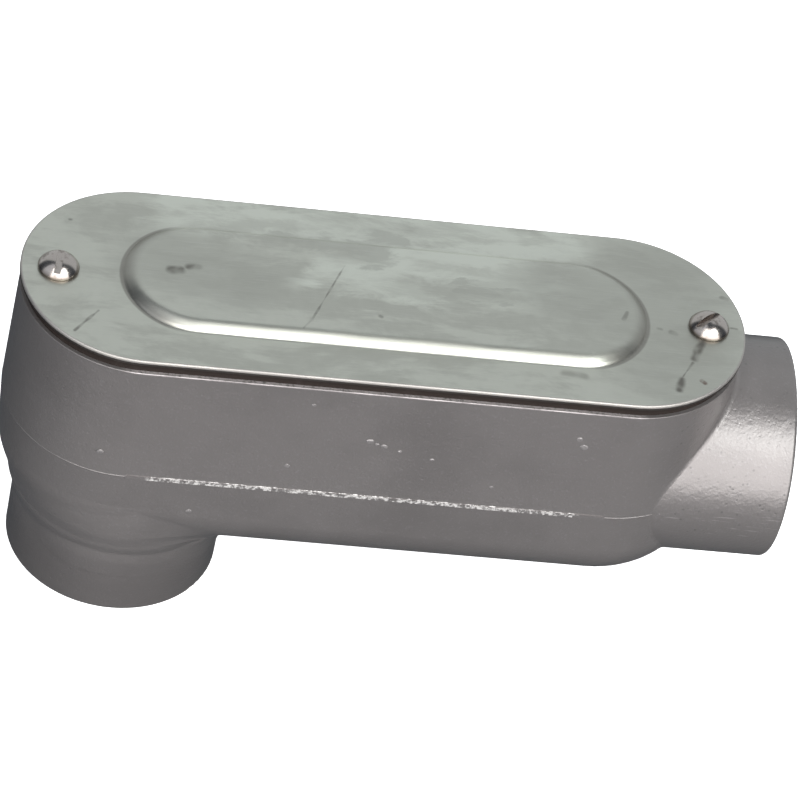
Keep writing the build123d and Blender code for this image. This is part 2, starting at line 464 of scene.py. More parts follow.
@dataclass(frozen=True)
class CoverSteel:
    """Bare stamped sheet steel: cloudy, finely brushed, scuffed and worn bright at its edges."""

    light: Colour = (0.65, 0.655, 0.59)
    dark: Colour = (0.48, 0.48, 0.435)
    pale: Colour = (0.80, 0.82, 0.74)
    bright: Colour = (0.80, 0.79, 0.76)
    edge: Colour = (0.46, 0.43, 0.42)
    shade: Colour = (0.035, 0.026, 0.024)
    stain: Colour = (0.13, 0.12, 0.11)
    rust: Colour = (0.12, 0.045, 0.03)
    foot: Colour = (0.20, 0.18, 0.165)

    def material(self, plan: "CoverPlan") -> bpy.types.Material:
        """Builds the steel.

        Args:
            plan: The cover's outlines, which the wear follows.

        Returns:
            The material.
        """
        s = Shader("cover_steel")
        blotch = s.noise(30.0, 6.0, 0.62, 0.6, s.stretched(1.0, 2.3, 1.0, (0.31, 0.12, 0.0)))
        streak = s.noise(55.0, 5.0, 0.6, 0.2, s.stretched(0.35, 2.6, 1.0, (0.7, 0.4, 0.0)))
        brush = s.noise(1.0, 2.0, 0.5, 0.0, s.stretched(160.0, 5200.0, 900.0))
        fine = s.noise(95.0, 5.0, 0.65, 0.4, s.stretched(0.8, 2.0, 1.0, (0.2, 0.9, 0.0)))
        cloud = (blotch * 0.45 + streak * 0.25 + fine * 0.30).rise(0.45, 0.555)
        mottle = s.noise(240.0, 4.0, 0.6)
        tone = s.tint(self.light, self.dark, cloud * 0.62 + (mottle - 0.5) * 0.5)
        uneven = (fine - 0.5) * (22.0 * MM)
        tone = s.tint(tone, self.pale, self._patches(s, plan, plan.wiped, uneven) * (0.78 - cloud * 0.4))
        tone = s.tint(tone, self.dark, self._patches(s, plan, plan.dulled, uneven) * 0.62)
        tone = s.tint(tone, self.bright, brush.rise(0.5, 0.8) * 0.22)
        rim = plan.from_middle(s)
        edge = rim.rise(plan.half_width - 0.55 * MM, plan.half_width - 0.2 * MM)
        tone = s.tint(tone, self.edge, edge * 0.8)
        # Painted shadow on the lower part of the cover's outer side, above the gasket.
        side = rim.rise(plan.half_width - 0.12 * MM, plan.half_width - 0.04 * MM)
        tone = s.tint(tone, self.shade, side * s.axes[2].rise(plan.bottom + 0.75 * MM, plan.bottom + 0.45 * MM) * 0.9)
        # Painted shade on the slope at both ends of the raised panel.
        turn = plan.from_panel(s)
        slope = turn.rise(plan.panel_half_width - 4.2 * MM, plan.panel_half_width - 0.5 * MM)
        slope = slope * turn.rise(plan.panel_half_width + 0.5 * MM, plan.panel_half_width)
        slope = slope * abs(s.axes[0] - plan.middle).rise(plan.panel_half_straight + 2 * MM, plan.panel_half_straight + 9 * MM)
        tone = s.tint(tone, self.foot, slope * 0.6)
        wear = self._marks(s, plan)
        tone = s.tint(tone, self.stain, wear)
        spot = s.segment(plan.at(69.8, -17.6), plan.at(70.4, -18.2)).rise(0.8 * MM, 0.25 * MM)
        tone = s.tint(tone, self.rust, spot * mottle.rise(0.4, 0.6) * 0.8)
        rough = 0.30 + cloud * 0.07 + mottle * 0.08 + wear * 0.25 + edge * 0.22
        s.relief(brush * 0.25 + mottle * 0.35 + wear * -0.6, 0.03 * MM, 0.7)
        return s.finish_with(tone, 1.0, rough)

    def _patches(self, s: Shader, plan: "CoverPlan", runs: tuple, uneven: Term) -> Term:
        """Broad soft areas at their places on the cover.

        Args:
            s: The material.
            plan: The cover's outlines.
            runs: Start, end and half width of each area.
            uneven: How far their edges wander.

        Returns:
            How strongly each point is covered, from 0 to 1.
        """
        total: Term | float = 0.0
        for start, end, half in runs:
            away = s.segment(plan.at(*start), plan.at(*end)) + uneven
            area = away.rise(half * 1.7 * MM, half * 0.5 * MM)
            total = area if isinstance(total, float) else total.most(area)
        return total

    def _marks(self, s: Shader, plan: "CoverPlan") -> Term:
        """Scratches, specks and smears at their places on the cover.

        Args:
            s: The material.
            plan: The cover's outlines.

        Returns:
            How strongly each point is marked, from 0 to 1.
        """
        wobble = (s.noise(190.0, 2.0, 0.5) - 0.5) * (1.6 * MM)
        ragged = s.noise(330.0, 1.5, 0.4).rise(0.34, 0.60) * 0.6 + 0.4
        total: Term | float = 0.0
        for start, end, width, weight in plan.strokes:
            away = s.segment(plan.at(*start), plan.at(*end)) + wobble * min(1.0, width * 2.6)
            mark = away.rise(width * 1.6 * MM, width * 0.15 * MM) * ragged * weight
            total = mark if isinstance(total, float) else total.most(mark)
        return total


@dataclass(frozen=True)
class GasketRubber:
    """Matt black-brown rubber sheet with a fine grain."""

    colour: Colour = (0.022, 0.016, 0.014)

    def material(self) -> bpy.types.Material:
        """Builds the rubber."""
        s = Shader("gasket_rubber")
        grain = s.noise(1800.0, 2.0, 0.6)
        dust = s.noise(160.0, 4.0, 0.6).rise(0.55, 0.75)
        tone = s.tint(self.colour, (0.045, 0.035, 0.032), dust * 0.5)
        s.surface.inputs["IOR"].default_value = 1.28
        s.relief(grain, 0.06 * MM, 0.8)
        return s.finish_with(tone, 0.0, 0.80 + grain * 0.15)


@dataclass(frozen=True)
class PlatedSteel:
    """Bright plating on a screw, slightly brown."""

    colour: Colour = (0.54, 0.49, 0.46)
    grime: Colour = (0.09, 0.065, 0.05)

    def material(self, seat: float) -> bpy.types.Material:
        """Builds the plating.

        Args:
            seat: Height of the seat under the head, where the head's foot is painted darker as shade.

        Returns:
            The material.
        """
        s = Shader("plated_steel")
        haze = s.noise(500.0, 4.0, 0.6)
        fine = s.noise(4200.0, 2.0, 0.6)
        # Painted shade at the head's foot, next to the cover.
        foot = s.axes[2].rise(seat + 1.7 * MM, seat + 0.3 * MM)
        tone = s.tint(self.colour, self.grime, haze.rise(0.50, 0.74) * 0.6)
        tone = s.tint(tone, self.grime, foot * 0.75)
        s.relief(haze * 0.5 + fine * 0.3, 0.03 * MM, 0.6)
        return s.finish_with(tone, 1.0, 0.14 + haze * 0.14)


@dataclass(frozen=True)
class FiledMetal:
    """Bare cast metal where flash was filed off or a thread was cut."""

    colour: Colour = (0.62, 0.61, 0.60)
    dark: Colour = (0.30, 0.29, 0.29)
    metallic: float = 1.0
    roughness: float = 0.28

    def material(self, name: str) -> bpy.types.Material:
        """Builds the bare metal."""
        s = Shader(name)
        coarse = s.noise(600.0, 4.0, 0.65)
        cut = s.noise(1.0, 2.0, 0.6, 0.0, s.stretched(700.0, 700.0, 5200.0))
        tone = s.tint(self.colour, self.dark, coarse.rise(0.40, 0.60) * 0.85)
        s.relief(coarse * 0.6 + cut * 0.4, 0.08 * MM, 0.8)
        return s.finish_with(tone, self.metallic, self.roughness + coarse * 0.2)


# Meshes


class Fairness(Enum):
    """How a piece's facets are shaded."""

    SMOOTH = "smooth"
    BY_ANGLE = "by angle"


def add_mesh(name: str, points: np.ndarray, faces: list[tuple[int, ...]], look: bpy.types.Material) -> bpy.types.Object:
    """Makes an object from points and faces, at the origin.

    Args:
        name: Name of the piece.
        points: One row of X, Y and Z for each point.
        faces: Point numbers of each face.
        look: Its material.

    Returns:
        The new object.
    """
    mesh = bpy.data.meshes.new(name)
    mesh.from_pydata([tuple(p) for p in points], [], faces)
    piece = bpy.data.objects.new(name, mesh)
    bpy.context.scene.collection.objects.link(piece)
    mesh.materials.append(look)
    tidy_mesh(piece)
    return piece


def tidy_mesh(piece: bpy.types.Object, gap: float = 0.002 * MM) -> None:
    """Joins doubled points and turns every face outward."""
    work = bmesh.new()
    work.from_mesh(piece.data)
    bmesh.ops.remove_doubles(work, verts=work.verts, dist=gap)
    bmesh.ops.recalc_face_normals(work, faces=work.faces)
    work.to_mesh(piece.data)
    work.free()


def shade(piece: bpy.types.Object, how: Fairness, limit: float = 30.0) -> None:
    """Smooths the facets, except across edges sharper than the limit in degrees."""
    mesh = piece.data
    mesh.shade_smooth()
    if how is Fairness.BY_ANGLE:
        mesh.set_sharp_from_angle(angle=math.radians(limit))


def baked(piece: bpy.types.Object) -> bpy.types.Object:
    """Turns an object's modifiers into its plain mesh and drops them."""
    seen = piece.evaluated_get(bpy.context.evaluated_depsgraph_get())
    mesh = bpy.data.meshes.new_from_object(seen)
    mesh.name = piece.name
    piece.modifiers.clear()
    piece.data = mesh
    return piece


def turned(profile: list[tuple[float, float]], sides: int) -> tuple[np.ndarray, list[tuple[int, ...]]]:
    """Solid of revolution about Z.

    Args:
        profile: Radius and height pairs from the lower pole to the upper one.
        sides: Number of facets round it.

    Returns:
        Its points and faces, with one point at each pole.
    """
    points: list[Point] = []
    rings: list[list[int]] = []
    for radius, height in profile:
        count = 1 if radius < 1e-9 else sides
        start = len(points)
        for k in range(count):
            turn = 2 * math.pi * k / sides
            points.append((radius * math.cos(turn), radius * math.sin(turn), height))
        rings.append(list(range(start, start + count)))
    faces: list[tuple[int, ...]] = []
    for low, high in zip(rings, rings[1:]):
        for k in range(sides):
            corner = [low[k % len(low)], low[(k + 1) % len(low)], high[(k + 1) % len(high)], high[k % len(high)]]
            faces.append(tuple(dict.fromkeys(corner)))
    return np.array(points), faces


# Geometry Nodes


class Grower:
    """A Geometry Nodes group with named inputs, run once and turned into a plain mesh."""

    def __init__(self, name: str) -> None:
        """Starts an empty group with one geometry input and one output.

        Args:
            name: Name of the group.
        """
        self.tree = bpy.data.node_groups.new(name, "GeometryNodeTree")
        self.tree.interface.new_socket("Geometry", in_out="INPUT", socket_type="NodeSocketGeometry")
        self.tree.interface.new_socket("Geometry", in_out="OUTPUT", socket_type="NodeSocketGeometry")
        self.entry = self.tree.nodes.new("NodeGroupInput")
        self.out = self.tree.nodes.new("NodeGroupOutput")
        self.named: dict[str, str] = {}

    def size(self, name: str, kind: str = "NodeSocketFloat") -> bpy.types.NodeSocket:
        """Adds a named input and gives its socket inside the group."""
        made = self.tree.interface.new_socket(name, in_out="INPUT", socket_type=kind)
        self.named[name] = made.identifier
        return next(out for out in self.entry.outputs if out.identifier == made.identifier)

    def node(self, kind: str, inputs: dict[str, object] | None = None, **settings: object) -> bpy.types.Node:
        """Adds a node, sets its properties, and links or sets its inputs by name."""
        made = self.tree.nodes.new(kind)
        for name, value in settings.items():
            setattr(made, name, value)
        for name, value in (inputs or {}).items():
            socket = made.inputs[int(name)] if name.isdigit() else made.inputs[name]
            if isinstance(value, bpy.types.NodeSocket):
                self.tree.links.new(value, socket)
            else:
                socket.default_value = value
        return made

    def maths(self, kind: str, *values: object) -> bpy.types.NodeSocket:
        """One maths node's result."""
        numbered = {str(k): v for k, v in enumerate(values)}
        return self.node("ShaderNodeMath", numbered, operation=kind).outputs[0]

    def close(self, geometry: bpy.types.NodeSocket, look: bpy.types.Material) -> None:
        """Ends the group: instances made real, material set."""
        real = self.node("GeometryNodeRealizeInstances", {"Geometry": geometry})
        dressed = self.node("GeometryNodeSetMaterial", {"Geometry": real.outputs[0], "Material": look})
        self.tree.links.new(dressed.outputs[0], self.out.inputs[0])

    def grow(
        self,
        name: str,
        look: bpy.types.Material,
        sizes: dict[str, object],
        place: Matrix = Matrix.Identity(4),
        path: list[Point] | None = None,
    ) -> bpy.types.Object:
        """Runs the group with these sizes and keeps the result as a mesh.

        Args:
            name: Name of the piece.
            look: Its material.
            sizes: A value for each named input.
            place: Where the group's own origin and axes go.
            path: Points that the group works along, or scatters on.

        Returns:
            The new object, at the origin.
        """
        base = bpy.data.meshes.new(name)
        if path:
            base.from_pydata(path, [(k, k + 1) for k in range(len(path) - 1)], [])
        piece = bpy.data.objects.new(name, base)
        bpy.context.scene.collection.objects.link(piece)
        modifier = piece.modifiers.new("grow", "NODES")
        modifier.node_group = self.tree
        for label, value in sizes.items():
            modifier[self.named[label]] = value
        baked(piece)
        piece.data.transform(place)
        if not piece.data.materials:
            piece.data.materials.append(look)
        tidy_mesh(piece)
        return piece


class HelixRidge(Grower):
    """Screw thread: one pointed ridge wound round a cylinder, fading out at both ends."""

    def __init__(self, look: bpy.types.Material) -> None:
        """Builds the group.

        Args:
            look: Material of the ridge.
        """
        super().__init__("helix_ridge")
        radius = self.size("Radius")
        pitch = self.size("Pitch")
        turns = self.size("Turns")
        depth = self.size("Depth")
        inward = self.size("Inward")
        height = self.maths("MULTIPLY", pitch, turns)
        spiral = self.node(
            "GeometryNodeCurveSpiral",
            {"Resolution": 72, "Rotations": turns, "Start Radius": radius, "End Radius": radius, "Height": height},
        )
        upright = self.node("GeometryNodeSetCurveNormal", {"Curve": spiral.outputs[0]}, mode="Z_UP")
        along = self.node("GeometryNodeSplineParameter").outputs["Factor"]
        turn = self.maths("MULTIPLY", along, turns)
        left = self.maths("SUBTRACT", turns, turn)
        nearest = self.maths("MINIMUM", turn, left)
        fade = self.maths("MAXIMUM", self.maths("MINIMUM", nearest, 1.0), 0.02)
        profile = self._profile(pitch, depth, inward)
        swept = self.node(
            "GeometryNodeCurveToMesh",
            {"Curve": upright.outputs[0], "Profile Curve": profile, "Scale": fade, "Fill Caps": True},
        )
        self.close(swept.outputs[0], look)

    def _profile(self, pitch: object, depth: object, inward: object) -> bpy.types.NodeSocket:
        """Triangular section with a flat crest, as a closed curve.

        Args:
            pitch: Distance between turns.
            depth: Height of the ridge.
            inward: 1 for a ridge that points to the axis, -1 for one that points away.

        Returns:
            The section.
        """
        half = self.maths("MULTIPLY", pitch, 0.48)
        crest = self.maths("MULTIPLY", pitch, 0.07)
        reach = self.maths("MULTIPLY", depth, inward)
        root = self.maths("MULTIPLY", reach, -0.06)
        corners = [(root, half), (reach, crest), (reach, crest, -1), (root, half, -1)]
        line = self.node(
            "GeometryNodeCurvePrimitiveQuadrilateral", {"Width": 1.0, "Height": 1.0}, mode="RECTANGLE"
        )
        index = self.node("GeometryNodeInputIndex").outputs[0]
        across: object = 0.0
        up: object = 0.0
        for number, corner in enumerate(corners):
            chosen = self.node(
                "FunctionNodeCompare", {"2": index, "3": number}, data_type="INT", operation="EQUAL"
            ).outputs[0]
            side = -1.0 if len(corner) == 3 else 1.0
            across = self.maths("ADD", across, self.maths("MULTIPLY", chosen, corner[0]))
            lift = self.maths("MULTIPLY", corner[1], side)
            up = self.maths("ADD", up, self.maths("MULTIPLY", chosen, lift))
        spot = self.node("ShaderNodeCombineXYZ", {"X": across, "Y": up})
        placed = self.node("GeometryNodeSetPosition", {"Geometry": line.outputs[0], "Position": spot.outputs[0]})
        return placed.outputs[0]


class RoughBead(Grower):
    """Bead along a path whose thickness wanders, and breaks up where it gets thin."""

    def __init__(self, look: bpy.types.Material) -> None:
        """Builds the group.

        Args:
            look: Material of the bead.
        """
        super().__init__("rough_bead")
        path = self.entry.outputs[0]
        step = self.size("Step")
        proud = self.size("Proud")
        half_height = self.size("Half height")
        rag = self.size("Rag")
        grain = self.size("Grain")
        gap = self.size("Gap")
        rough = self.size("Rough")
        seed = self.size("Seed")
        line = self.node("GeometryNodeMeshToCurve", {"Mesh": path})
        even = self.node("GeometryNodeResampleCurve", {"Curve": line.outputs[0], "Length": step}, mode="LENGTH")
        upright = self.node("GeometryNodeSetCurveNormal", {"Curve": even.outputs[0]}, mode="Z_UP")
        wander = self._noise(grain, seed, 3.0)
        breaks = self._noise(self.maths("MULTIPLY", grain, 0.3), self.maths("ADD", seed, 7.0), 1.0)
        low = self.maths("MULTIPLY", self.maths("SUBTRACT", 0.62, wander), 4.0)
        scale = self.maths("SUBTRACT", 1.0, self.maths("MULTIPLY", rag, self.maths("MAXIMUM", low, 0.0)))
        kept = self.maths("MULTIPLY", self.maths("SUBTRACT", breaks, gap), 14.0)
        kept = self.maths("MINIMUM", self.maths("MAXIMUM", kept, 0.0), 1.0)
        scale = self.maths("MULTIPLY", self.maths("MAXIMUM", scale, 0.08), kept)
        scale = self.maths("MAXIMUM", scale, 0.01)
        ring = self.node("GeometryNodeCurvePrimitiveCircle", {"Resolution": 10, "Radius": 1.0}, mode="RADIUS")
        shape = self.node("ShaderNodeCombineXYZ", {"X": proud, "Y": half_height, "Z": 1.0})
        oval = self.node("GeometryNodeTransform", {"Geometry": ring.outputs[0], "Scale": shape.outputs[0]})
        swept = self.node(
            "GeometryNodeCurveToMesh",
            {
                "Curve": upright.outputs[0],
                "Profile Curve": oval.outputs[0],
                "Scale": scale,
                "Fill Caps": True,
            },
        )
        fine = self._noise(self.maths("MULTIPLY", grain, 3.0), seed, 3.0)
        push = self.maths("MULTIPLY", self.maths("SUBTRACT", fine, 0.5), rough)
        normal = self.node("GeometryNodeInputNormal").outputs[0]
        shift = self.node("ShaderNodeVectorMath", {"0": normal, "Scale": push}, operation="SCALE")
        bumpy = self.node("GeometryNodeSetPosition", {"Geometry": swept.outputs[0], "Offset": shift.outputs[0]})
        self.close(bumpy.outputs[0], look)

    def _noise(self, scale: object, seed: object, detail: float) -> bpy.types.NodeSocket:
        """Random pattern along the path."""
        made = self.node(
            "ShaderNodeTexNoise", {"Scale": scale, "W": seed, "Detail": detail, "Roughness": 0.6}, noise_dimensions="4D"
        )
        return made.outputs[0]


class NibScatter(Grower):
    """Small flattened blobs of random size on given points."""

    def __init__(self, look: bpy.types.Material) -> None:
        """Builds the group.

        Args:
            look: Material of the blobs.
        """
        super().__init__("nib_scatter")
        spots = self.entry.outputs[0]
        radius = self.size("Radius")
        flat = self.size("Flatness")
        seed = self.size("Seed", "NodeSocketInt")
        blob = self.node("GeometryNodeMeshIcoSphere", {"Radius": radius, "Subdivisions": 3})
        shape = self.node("ShaderNodeCombineXYZ", {"X": 1.0, "Y": flat, "Z": 0.75})
        pressed = self.node("GeometryNodeTransform", {"Geometry": blob.outputs[0], "Scale": shape.outputs[0]})
        size = self.node("FunctionNodeRandomValue", {"Seed": seed}, data_type="FLOAT")
        numbers = [socket for socket in size.inputs if socket.type == "VALUE"]
        numbers[0].default_value, numbers[1].default_value = 0.55, 1.15
        chosen = next(socket for socket in size.outputs if socket.type == "VALUE")
        points = self.node("GeometryNodeMeshToPoints", {"Mesh": spots})
        many = self.node(
            "GeometryNodeInstanceOnPoints",
            {"Points": points.outputs[0], "Instance": pressed.outputs[0], "Scale": chosen},
        )
        real = self.node("GeometryNodeRealizeInstances", {"Geometry": many.outputs[0]})
        lumps = self.node("ShaderNodeTexNoise", {"Scale": 1400.0, "W": 2.0, "Detail": 2.0}, noise_dimensions="4D")
        push = self.maths("MULTIPLY", self.maths("SUBTRACT", lumps.outputs[0], 0.5), self.maths("MULTIPLY", radius, 0.6))
        normal = self.node("GeometryNodeInputNormal").outputs[0]
        shift = self.node("ShaderNodeVectorMath", {"0": normal, "Scale": push}, operation="SCALE")
        bumpy = self.node("GeometryNodeSetPosition", {"Geometry": real.outputs[0], "Offset": shift.outputs[0]})
        self.close(bumpy.outputs[0], look)


# The casting's added detail


@dataclass
class Bead:
    """One run of bead: where it goes and how rough it is. Lengths in metres."""

    name: str
    path: list[Point]
    proud: float
    half_height: float
    step: float = 0.3 * MM
    rag: float = 0.0
    grain: float = 300.0
    gap: float = 0.0
    rough: float = 0.0
    seed: float = 1.0

    def build(self, grower: RoughBead, look: bpy.types.Material, body: str, slot: str) -> bpy.types.Object:
        """Runs the bead along its path.

        Args:
            grower: The group that makes beads.
            look: Material of the bead.
            body: Body that it rides on.
            slot: Not used.

        Returns:
            The bead.
        """
        sizes = {
            "Step": self.step,
            "Proud": self.proud,
            "Half height": self.half_height,
            "Rag": self.rag,
            "Grain": self.grain,
            "Gap": self.gap,
            "Rough": self.rough,
            "Seed": self.seed,
        }
        piece = grower.grow(self.name, look, sizes, path=self.path)
        shade(piece, Fairness.BY_ANGLE, 50.0)
        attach(piece, body)
        log.info("%s: %d faces", self.name, len(piece.data.polygons))
        return piece


@dataclass
class CoverPlan:
    """Outlines of the cover seen from above, in metres."""

    middle: float
    half_width: float
    half_straight: float
    bottom: float
    panel_half_width: float = 17.3 * MM
    panel_half_straight: float = 42.0 * MM
    strokes: tuple = (
        ((-9.4, 7.3), (-17.6, -11.6), 0.18, 0.55),
        ((-17.6, -11.6), (-19.5, -14.3), 0.45, 0.5),
        ((-64.3, -12.7), (-69.5, -19.6), 0.32, 0.65),
        ((71.2, -4.7), (68.7, -10.6), 0.85, 0.8),
        ((68.2, -12.0), (65.3, -17.2), 0.32, 0.75),
        ((65.2, -17.4), (64.3, -21.2), 0.75, 0.8),
        ((-48.4, 0.1), (-46.3, 0.4), 1.0, 0.95),
        ((-44.4, 1.7), (-42.4, 2.0), 0.8, 0.7),
        ((78.2, 0.5), (79.5, 0.4), 0.4, 0.55),
        ((77.0, 10.4), (78.2, 10.0), 0.45, 0.5),
        ((64.2, -2.6), (65.2, -3.0), 0.6, 0.4),
        ((61.4, -1.8), (62.0, -1.9), 0.5, 0.35),
        ((53.0, -2.0), (54.0, 0.4), 0.35, 0.4),
        ((38.5, -19.2), (43.0, -19.4), 0.9, 0.35),
        ((-2.2, -8.4), (-2.0, -8.5), 0.4, 0.8),
        ((-70.5, 16.0), (-70.3, 16.0), 0.45, 0.6),
    )
    wiped: tuple = (
        ((-44.0, 22.5), (38.0, 22.0), 6.5),
        ((5.0, 11.5), (30.0, 8.0), 7.0),
        ((-14.0, 4.0), (6.0, 1.0), 4.5),
    )
    dulled: tuple = (
        ((-1.0, 21.0), (5.0, 20.0), 3.0),
        ((-22.0, 14.5), (-2.0, 13.0), 3.0),
        ((15.0, 2.5), (28.0, 2.0), 1.4),
        ((-52.0, 4.0), (-34.0, -2.0), 8.0),
        ((40.0, 6.0), (54.0, 0.0), 9.0),
        ((64.0, 16.0), (66.0, -15.0), 12.0),
    )

    def at(self, x: float, y: float) -> tuple[float, float]:
        """A point on the cover, from millimetres off its centre."""
        return self.middle + x * MM, y * MM

    def _from_line(self, s: Shader, half_length: float) -> Term:
        """Distance of the surface from a line of that half length along the cover's middle."""
        x, y, _ = s.axes
        past = (abs(x - self.middle) - half_length).most(0.0)
        return (past * past + y * y).root()

    def from_middle(self, s: Shader) -> Term:
        """Distance of the surface from the cover's middle line."""
        return self._from_line(s, self.half_straight)

    def from_panel(self, s: Shader) -> Term:
        """Distance of the surface from the raised panel's middle line."""
        return self._from_line(s, self.panel_half_straight)


@dataclass
class HubThread:
    """The thread cut inside one hub."""

    name: str
    place: Matrix
    radius: float = 21.1 * MM
    pitch: float = 2.209 * MM
    length: float = 17.6 * MM
    depth: float = 1.55 * MM
    sink: float = 0.3 * MM

    def build(self, grower: HelixRidge, look: bpy.types.Material) -> bpy.types.Object:
        """Winds the ridge into the bore and puts it on the box.

        Args:
            grower: The group that makes ridges.
            look: Material of the cut thread.

        Returns:
            The thread.
        """
        sizes = {
            "Radius": self.radius + 0.02 * MM,
            "Pitch": self.pitch,
            "Turns": (self.length - self.pitch) / self.pitch,
            "Depth": self.depth,
            "Inward": 1.0,
        }
        lift = Matrix.Translation((0.0, 0.0, self.sink + self.pitch / 2))
        piece = grower.grow(self.name, look, sizes, self.place @ lift)
        shade(piece, Fairness.BY_ANGLE, 35.0)
        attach(piece, "box")
        log.info("%s: %d faces", self.name, len(piece.data.polygons))
        return piece


@dataclass
class Casting:
    """The box with its hubs: paint on the frame's own mesh, threads and parting line added."""

    node: bpy.types.Object
    hub_mouth: float
    hub_axis: float = 46.3 * MM
    hub_radius: float = 25.1 * MM
    parting: float = 45.9 * MM
    parting_half_width: float = 27.55 * MM
    rim_half_width: float = 27.15 * MM
    rim_height: float = 77.15 * MM
    back_arc: float = -3.0 * MM
    end_arc: float = 104.8 * MM
    nibs: tuple[Point, ...] = (
        (-9.4, -26.85, 52.3),
        (34.9, -27.22, 72.3),
        (48.9, -27.34, 63.0),
        (50.6, -27.34, 62.2),
        (52.2, -27.36, 61.8),
        (55.9, -27.37, 60.7),
        (63.4, -27.39, 59.1),
        (94.7, -27.26, 69.2),
        (96.1, -27.28, 66.9),
        (12.4, -26.90, 36.3),
        (31.9, -27.40, 53.4),
        (78.0, -27.36, 52.5),
        (88.5, -27.40, 50.2),
        (40.5, 27.34, 63.0),
        (71.0, 27.38, 57.5),
    )
    lumps: tuple[Point, ...] = ((118.9, -24.75, 46.6), (117.9, -24.95, 46.2), (2.6, -27.25, 46.6), (4.0, -27.3, 46.5))

    def dress(self, paint: bpy.types.Material) -> None:
        """Paints the casting."""
        self.node.data.materials.clear()
        self.node.data.materials.append(paint)
        log.info("casting painted")

    def around(self, half_width: float, height: float, start: float, end: float, steps: int = 96) -> list[Point]:
        """Points round the back of the box from one side to the other.

        Args:
            half_width: Distance of the path from the middle line.
            height: Its height.
            start: X where it starts, on the -Y side, at or before the end arc's centre.
            end: X where it ends, on the +Y side.
            steps: Points round the half circle.

        Returns:
            The points.
        """
        points = [(start, -half_width, height), (self.back_arc + 1 * MM, -half_width, height)]
        for k in range(steps + 1):
            turn = -math.pi / 2 - math.pi * k / steps
            out = half_width - 0.07 * MM * abs(math.cos(turn)) ** 60
            points.append((self.back_arc + out * math.cos(turn), out * math.sin(turn), height))
        points += [(self.back_arc + 1 * MM, half_width, height), (end, half_width, height)]
        return points

    def end_turn(self, half_width: float, height: float, reach: float, side: float) -> list[Point]:
        """Points on the end arc from its tangent to a given distance off the middle line.

        Args:
            half_width: Radius of the arc.
            height: Its height.
            reach: Distance off the middle line where the run stops.
            side: 1 for the +Y side, -1 for the other.

        Returns:
            The points, from the tangent on.
        """
        stop = math.asin(min(1.0, reach / half_width))
        points = []
        for k in range(25):
            turn = math.pi / 2 + (stop - math.pi / 2) * k / 24
            points.append((self.end_arc + half_width * math.cos(turn), side * half_width * math.sin(turn), height))
        return points

    def build_parting(self, grower: "RoughBead", paint: bpy.types.Material) -> None:
        """Raises the fine line where the two halves of the mould met, up to the end hub."""
        width = self.parting_half_width - 0.10 * MM
        near = self.end_turn(width, self.parting, self.hub_radius - 0.2 * MM, -1.0)
        far = self.end_turn(width, self.parting, self.hub_radius - 0.2 * MM, 1.0)
        middle = self.around(width, self.parting, self.end_arc, self.end_arc)[1:-1]
        path = near[::-1] + middle + far
        Bead("parting_line", path, 0.16 * MM, 0.24 * MM, rag=0.25, grain=160.0).build(
            grower, paint, "box", "painted_casting"
        )

    def build_flash(self, grower: "RoughBead", look: bpy.types.Material) -> None:
        """Leaves the rough edge that a file took off along both sides and beside the end hub."""
        deep = self.parting_half_width - 0.16 * MM
        lift = self.parting + 0.25 * MM
        near = [(x * MM, -deep, lift) for x in (2.5, 30.0, 60.0, 98.0)]
        thin = [(x * MM, -deep, self.parting + 0.05 * MM) for x in (-5.0, -1.0, 2.8)]
        far = [(x * MM, deep, lift) for x in (20.0, 50.0, 84.0)]
        hub = [(x * MM, -self.hub_radius + 0.08 * MM, self.parting + rise * MM) for x, rise in ((120.0, 0.3), (142.0, 1.8))]
        runs = (
            Bead("flash_near_side", near, 0.28 * MM, 0.62 * MM, 0.14 * MM, 0.45, 800.0, 0.0, 0.42 * MM, 3.0),
            Bead("flash_near_start", thin, 0.18 * MM, 0.26 * MM, 0.16 * MM, 0.4, 500.0, 0.0, 0.05 * MM, 4.0),
            Bead("flash_far_side", far, 0.22 * MM, 0.34 * MM, 0.2 * MM, 0.9, 700.0, 0.42, 0.2 * MM, 5.0),
            Bead("flash_end_hub", hub, 0.15 * MM, 0.22 * MM, 0.16 * MM, 0.9, 700.0, 0.55, 0.1 * MM, 6.0),
        )
        for run in runs:
            run.build(grower, look, "box", "painted_casting")

    def build_rim_edge(self, grower: "RoughBead", look: bpy.types.Material) -> None:
        """Rounds the outer edge of the rim, where the paint is worn thin and painted bright as a highlight."""
        inset = 0.22 * MM
        width = self.rim_half_width - inset + 0.05 * MM
        height = self.rim_height - inset + 0.02 * MM
        near = self.end_turn(width, height, 0.0, -1.0)
        far = self.end_turn(width, height, 0.0, 1.0)
        middle = self.around(width, height, self.end_arc, self.end_arc)[1:-1]
        path = near[::-1] + middle + far
        Bead("rim_edge", path, inset, inset, rag=0.05, grain=90.0).build(grower, look, "box", "painted_casting")

    def build_nibs(self, paint: bpy.types.Material) -> None:
        """Scatters the small blobs that show in the paint, and lumps left at the parting line."""
        grower = NibScatter(paint)
        for name, spots, radius in (("paint_nibs", self.nibs, 0.85), ("casting_lumps", self.lumps, 0.8)):
            points = [(x * MM, y * MM, z * MM) for x, y, z in spots]
            sizes = {"Radius": radius * MM, "Flatness": 0.22, "Seed": 4}
            piece = grower.grow(name, paint, sizes, path=points)
            shade(piece, Fairness.SMOOTH)
            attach(piece, "box")
            log.info("%s: %d faces", name, len(piece.data.polygons))

    def build_threads(self, look: bpy.types.Material) -> None:
        """Cuts the thread in each hub."""
        grower = HelixRidge(look)
        HubThread("thread_back_hub", Matrix.Identity(4)).build(grower, look)
        turn = Matrix.Rotation(math.radians(-90), 4, "Y")
        place = Matrix.Translation((self.hub_mouth, 0.0, self.hub_axis)) @ turn
        HubThread("thread_end_hub", place).build(grower, look)


